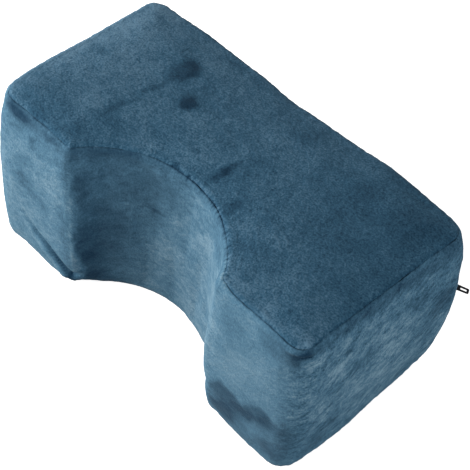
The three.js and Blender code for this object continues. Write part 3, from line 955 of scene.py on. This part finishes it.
tape_weave, tape_shader, weave = material("zip_tape_weave", Roughness=0.8, Specular_IOR_Level=0.25)
spot = weave.make("ShaderNodeTexCoord", {}, out="Object")
thread_width = 0.7
thread = 2 * pi / (thread_width * mm)
along = weave.make("ShaderNodeSeparateXYZ", {"Vector": spot}, out="X") * thread
across = weave.make("ShaderNodeSeparateXYZ", {"Vector": spot}, out="Z") * thread
twill = (along + across * 0.5).math("SINE", along + across * 0.5, 0) * 0.5
ribs = across.math("SINE", across, 0) * 0.3
worn = weave.noise(120, 2) + weave.noise(1500, 1)
tape_dark, tape_pale = (0.012, 0.034, 0.055), (0.05, 0.11, 0.165)
woven = 0.5 + twill * 0.35 + ribs * 0.3 + worn * 0.6
woven.between(0, 1).mix(tape_dark, tape_pale).drive(tape_shader, "Base Color")
(twill + ribs + worn * 0.3).emboss(tape_shader, 0.6, 0.00025)

for half, side in {"upper": 1, "lower": -1}.items():
    near, far = sorted((zip_height + side * tape_split, zip_height + side * tape_half))
    middle, flat_half = (near + far) / 2, (far - near) / 2 - tape_edge
    tape_face = tape_base + tape_thickness
    tape = bar(f"zip_tape_{half}", (zip_from, tape_base, near), (zip_to, tape_face, far))
    pick(tape, lambda at, normal: normal.y > 0.9)
    bpy.ops.mesh.inset(thickness=tape_edge * mm)
    pick(tape, lambda at, normal: normal.y > 0.9 and abs(at.z - middle) > flat_half)
    pull_out(y=tape_fold)
    rounded(tape, tape_round)
    tape.data.materials.append(tape_weave)
    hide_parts("zip_tape")
    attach(tape, "root")

# The coil is one stiff nylon thread on each tape, wound into a row of loops. The loops of the two
# rows have broad heads that hook into each other along the middle, up to the slider.
coil_pitch, coil_overlap, coil_half = 2.4, 0.9, 2.4
loop_half_width, loop_half_height = 0.52, 0.8
coil_from, coil_to = zip_from + 1.5, zip_to - 4
coil_y = tape_base + tape_thickness + loop_half_height
loop_heads = ((-0.25, 1.12), (-0.25, 0.9), (-0.1, 0.5))
loop_feet = ((0.35, -0.2, 0.85), (0.35, -0.25, 0.6))


def scuffed(name, size, detail, dark, pale, contrast, rough, rougher, **sockets):
    """A hard material that wear has made uneven in colour and roughness."""
    made, shader, start = material(name, **sockets)
    wear = start.noise(size, detail)
    (0.5 + wear * contrast).between(0, 1).mix(dark, pale).drive(shader, "Base Color")
    (rough + wear * rougher).drive(shader, "Roughness")
    return made, shader, wear


coil_nylon, _, _ = scuffed(
    "zip_coil_nylon", 900, 3, (0.01, 0.032, 0.054), (0.045, 0.11, 0.165), 1, 0.35, 0.3
)

loops = int((coil_to - coil_from) / coil_pitch)
bpy.ops.object.select_all(action="DESELECT")
head_long = -sum(reach for reach, spread in loop_heads)
foot_long = sum(reach for reach, drop, spread in loop_feet)
loop_low, loop_high = zip_height - coil_overlap + head_long, zip_height + coil_half - foot_long
bpy.ops.mesh.primitive_cylinder_add(
    vertices=8,
    radius=loop_half_width * mm,
    depth=(loop_high - loop_low) * mm,
    location=(coil_from * mm, coil_y * mm, (loop_low + loop_high) / 2 * mm),
    scale=(1, loop_half_height / loop_half_width, 1),
)
bpy.ops.object.transform_apply()
upper_row = bpy.context.active_object
upper_row.name = upper_row.data.name = "zip_coil_upper"
# The head swells and closes; the foot bends down to the tape.
for reach, spread in loop_heads:
    pick(upper_row, lambda at, normal: normal.z < -0.9)
    middle = (coil_from * mm, coil_y * mm, (loop_low - head_long) * mm)
    pull_out(z=reach)
    bpy.ops.transform.resize(value=(spread, spread, 1), center_override=middle)
for reach, drop, spread in loop_feet:
    pick(upper_row, lambda at, normal: normal.z > 0.9)
    middle = (coil_from * mm, (coil_y + drop) * mm, loop_high * mm)
    pull_out(z=reach, y=drop)
    bpy.ops.transform.resize(value=(spread, spread, 1), center_override=middle)
bpy.ops.object.mode_set(mode="OBJECT")
bpy.ops.object.shade_smooth_by_angle(angle=radians(50))
row = upper_row.modifiers.new("row", "ARRAY")
row.count = loops
row.use_relative_offset, row.use_constant_offset = False, True
row.constant_offset_displace = (coil_pitch * mm, 0, 0)
bpy.ops.object.modifier_apply(modifier=row.name)
bpy.ops.object.duplicate()
lower_row = bpy.context.active_object
lower_row.name = lower_row.data.name = "zip_coil_lower"
bpy.ops.object.mode_set(mode="EDIT")
bpy.ops.mesh.select_all(action="SELECT")
coil_middle = coil_from + ((loops - 1) / 2 + 0.25) * coil_pitch
bpy.ops.transform.rotate(
    value=pi, orient_axis="Y", center_override=(coil_middle * mm, coil_y * mm, zip_height * mm)
)
bpy.ops.object.mode_set(mode="OBJECT")
for coil in (upper_row, lower_row):
    coil.data.materials.append(coil_nylon)
    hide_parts("zip_tape")
    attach(coil, "root")

# The slider is a small die-cast body in black enamel: a plate over the coil, with a cheek on each
# side of it, and an arched lug on the plate that holds the pull. It is broad where the two tapes
# come in and narrow where the closed coil leaves it.
slider_from, slider_long = 157.5, 11
slider_base, slider_under, slider_face = 95.5, 96.9, 98.4
slider_half, slider_cheek = 4.5, 2.8
slider_taper = {0: 0.84, 0.25: 0.84, 0.6: 0.94, 0.85: 1, 1: 0.93}
lug_middle, lug_half_length, lug_half_width = 163.9, 4.0, 0.9
lug_high, lug_wall = 3.3, 1.1
enamel, enamel_shader, rubbed = scuffed(
    "zip_black_enamel", 420, 3, (0.004, 0.004, 0.005), (0.024, 0.024, 0.027), 1.4, 0.33, 0.35,
    Metallic=0.35, Coat_Weight=0.4, Coat_Roughness=0.15,
)
rubbed.emboss(enamel_shader, 0.15, 0.0001)


def cut(axis, at):
    """Cuts through all of the mesh in hand, straight across an axis at a place in millimetres."""
    across = [float(axis == name) for name in "xyz"]
    bpy.ops.mesh.select_all(action="SELECT")
    bpy.ops.mesh.bisect(plane_co=[at * mm * share for share in across], plane_no=across)


slider = bar(
    "zip_slider_cast",
    (slider_from, slider_under, zip_height - slider_half),
    (slider_from + slider_long, slider_face, zip_height + slider_half),
)
bpy.ops.object.mode_set(mode="EDIT")
for side in (-1, 1):
    cut("z", zip_height + side * slider_cheek)
for share in slider_taper:
    if 0 < share < 1:
        cut("x", slider_from + slider_long * share)
pick(slider, lambda at, normal: normal.y < -0.9 and abs(at.z - zip_height) > slider_cheek)
pull_out(y=slider_base - slider_under)
for share, narrow in slider_taper.items():
    at_x, beyond = slider_from + slider_long * share, slider_cheek + 0.5
    pick_points(slider, lambda at: abs(at.x - at_x) < 0.1 and abs(at.z - zip_height) > beyond)
    middle = (at_x * mm, 0, zip_height * mm)
    bpy.ops.transform.resize(value=(1, 1, narrow), center_override=middle)
rounded(slider, 0.35, 3)
lug = bar(
    "zip_slider_lug",
    (lug_middle - lug_half_length, slider_face - lug_wall, zip_height - lug_half_width),
    (lug_middle + lug_half_length, slider_face + lug_high, zip_height + lug_half_width),
)
pick(lug, lambda at, normal: abs(normal.z) > 0.9)
bpy.ops.mesh.inset(thickness=lug_wall * mm)
bpy.ops.mesh.bridge_edge_loops()
rounded(lug, 0.4, 3)
slider.select_set(True)
bpy.context.view_layer.objects.active = slider
bpy.ops.object.join()
slider.data.materials.append(enamel)
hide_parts("zip_slider")
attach(slider, "root")

# The pull is a tapered plate of the same enamelled metal. Its eye hangs in the slider's lug, a
# recess in its neck is bare metal, and a long slot leaves a thin frame at its tip.
pull_from, pull_to, pull_half, pull_tip, pull_half_thickness = -0.75, 19.2, 3.5, 2.8, 0.5
pull_nip, pull_round = 1.2, 0.22
pull_eye = {"from": 0.75, "to": 4.4, "half": 1.3}
pull_slot = {"from": 11.8, "to": 17.3, "half": 1.45}
pull_neck = {"from": 4.9, "to": 11.2, "half": 1.9}
neck_rim, neck_deep = 0.25, 0.15
pull_at, pull_turn = (165.3, 99.65, zip_height), radians(19)
bare_metal, _, _ = scuffed(
    "zip_bare_metal", 700, 2, (0.045, 0.028, 0.03), (0.16, 0.115, 0.115), 1.6, 0.45, 0.3,
    Metallic=0.75,
)

puller = bar(
    "zip_pull_cast",
    (pull_from, -pull_half_thickness, -pull_half),
    (pull_to, pull_half_thickness, pull_half),
)
# Its four upright edges are nipped round, and then its openings are marked out.
points = puller.data.vertices


def upright(edge):
    a, b = (points[i].co for i in edge.vertices)
    return abs(a.y - b.y) > pull_half_thickness * mm


select("EDGE", puller.data.edges, upright)
bpy.ops.mesh.bevel(offset=pull_nip * mm, segments=4)
for opening in (pull_eye, pull_neck, pull_slot):
    cut("x", opening["from"])
    cut("x", opening["to"])
    cut("z", -opening["half"])
    cut("z", opening["half"])


def in_opening(opening, clear=0.01):
    """A test for the plate's two faces over an opening."""
    return lambda at, normal: (
        abs(normal.y) > 0.9
        and opening["from"] - clear < at.x < opening["to"] + clear
        and abs(at.z) < opening["half"] + clear
    )


for opening in (pull_eye, pull_slot):
    pick(puller, in_opening(opening))
    bpy.ops.mesh.bridge_edge_loops()
pick(puller, in_opening(pull_neck))
bpy.ops.mesh.inset(thickness=neck_rim * mm, depth=-neck_deep * mm)
puller.data.materials.append(enamel)
puller.data.materials.append(bare_metal)
puller.active_material_index = 1
bpy.ops.object.material_slot_assign()
# It narrows towards its tip, outside its openings.
for station in sorted({round(point.co.x / mm, 3) for point in puller.data.vertices}):
    share = max(0, (station - pull_from) / (pull_to - pull_from))
    narrow, beyond = 1 - (1 - pull_tip / pull_half) * share, pull_neck["half"] + 0.1
    pick_points(puller, lambda at: abs(at.x - station) < 0.01 and abs(at.z) > beyond)
    bpy.ops.transform.resize(value=(1, 1, narrow), center_override=(station * mm, 0, 0))
rounded(puller, pull_round)
puller.location = [a * mm for a in pull_at]
puller.rotation_euler.z = pull_turn
bpy.ops.object.transform_apply()
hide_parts("zip_pull")
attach(puller, "root")

# A plain white floor and soft studio light: three large, slightly warm lamps on the left, from
# behind it round to the front, and weak white ones at the right, high on the right and behind.
bpy.ops.object.select_all(action="DESELECT")
bpy.ops.mesh.primitive_plane_add(size=12)
floor = bpy.context.active_object
floor.name = "floor"
white_floor, _, _ = material(
    "floor",
    Base_Color=(0.8, 0.8, 0.8, 1),
    Roughness=0.9,
    Emission_Color=(1, 1, 1, 1),
    Emission_Strength=0.9,
)
floor.data.materials.append(white_floor)
floor.visible_diffuse = False
floor.visible_glossy = False

world = bpy.data.worlds.new("studio")
scene.world = world
world.use_nodes = True
background = world.node_tree.nodes["Background"]
background.inputs["Color"].default_value = (1, 1, 1, 1)
background.inputs["Strength"].default_value = 0.155

lamp_distance, lamp_size, lamp_aim = 2.2, 0.9, Vector((0, 0, 0.08))
warm, white = (1, 0.91, 0.86), (1, 1, 1)
lamps = {
    "far_left": {"round": 270, "above": 8, "watts": 16, "tint": warm},
    "low_left": {"round": 300, "above": 8, "watts": 34.5, "tint": warm},
    "front_left": {"round": 329, "above": 30, "watts": 35, "tint": warm},
    "right": {"round": 80, "above": 8, "watts": 17, "tint": white},
    "high_right": {"round": 90, "above": 58, "watts": 4, "tint": white},
    "behind": {"round": 188, "above": 6, "watts": 9, "tint": white},
}
for name, lamp in lamps.items():
    turn, lift = radians(lamp["round"]), radians(lamp["above"])
    level_part = cos(lift)
    towards = Vector((sin(turn) * level_part, -cos(turn) * level_part, sin(lift)))
    bpy.ops.object.light_add(type="AREA", location=towards * lamp_distance + lamp_aim)
    light = bpy.context.active_object
    light.name = name
    light.data.shape = "SQUARE"
    light.data.size = lamp_size
    light.data.energy = lamp["watts"]
    light.data.color = lamp["tint"]
    light.rotation_euler = (-towards).to_track_quat("-Z", "Y").to_euler()

bpy.context.view_layer.update()
